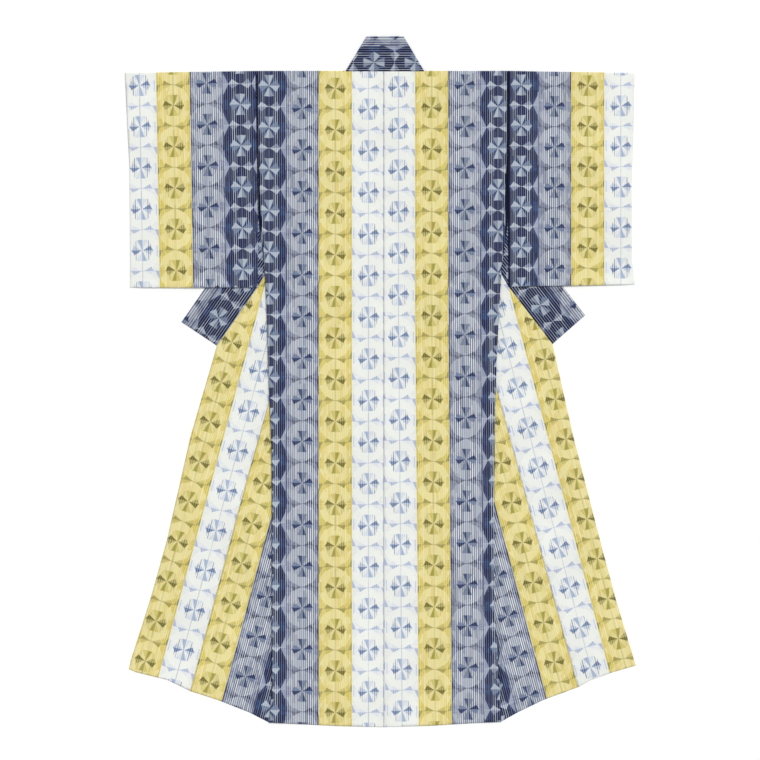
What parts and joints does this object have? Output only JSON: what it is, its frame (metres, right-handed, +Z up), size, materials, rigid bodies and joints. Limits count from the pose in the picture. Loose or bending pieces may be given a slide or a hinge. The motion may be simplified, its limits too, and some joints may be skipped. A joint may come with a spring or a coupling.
{
  "type": "kimono",
  "caption": "Cotton summer kimono with a geometric woven pattern in stripes, laid flat back side up with arms straight and front skirts opened out.",
  "frame": {"origin": "on the floor under the middle of the garment's outline", "axes": "+Y from the hem to the collar, +X to the wearer's right, +Z up from the floor to the back side of the garment"},
  "size_m": [1.3016, 1.762, 0.0055],
  "materials": {
    "striped_cotton": "matt plain-weave cotton with blurred woven circles and rosettes in white, yellow, grey-blue and navy stripes",
    "collar_cotton": "matt plain-weave cotton with the same woven figures in navy and grey-blue, running along the strip"
  },
  "bodies": {
    "root": {"body_left": "striped_cotton", "body_right": "striped_cotton", "okumi_left": "striped_cotton", "okumi_right": "striped_cotton", "sleeve_left": "striped_cotton", "sleeve_right": "striped_cotton", "collar": "collar_cotton"}
  },
  "joints": []
}
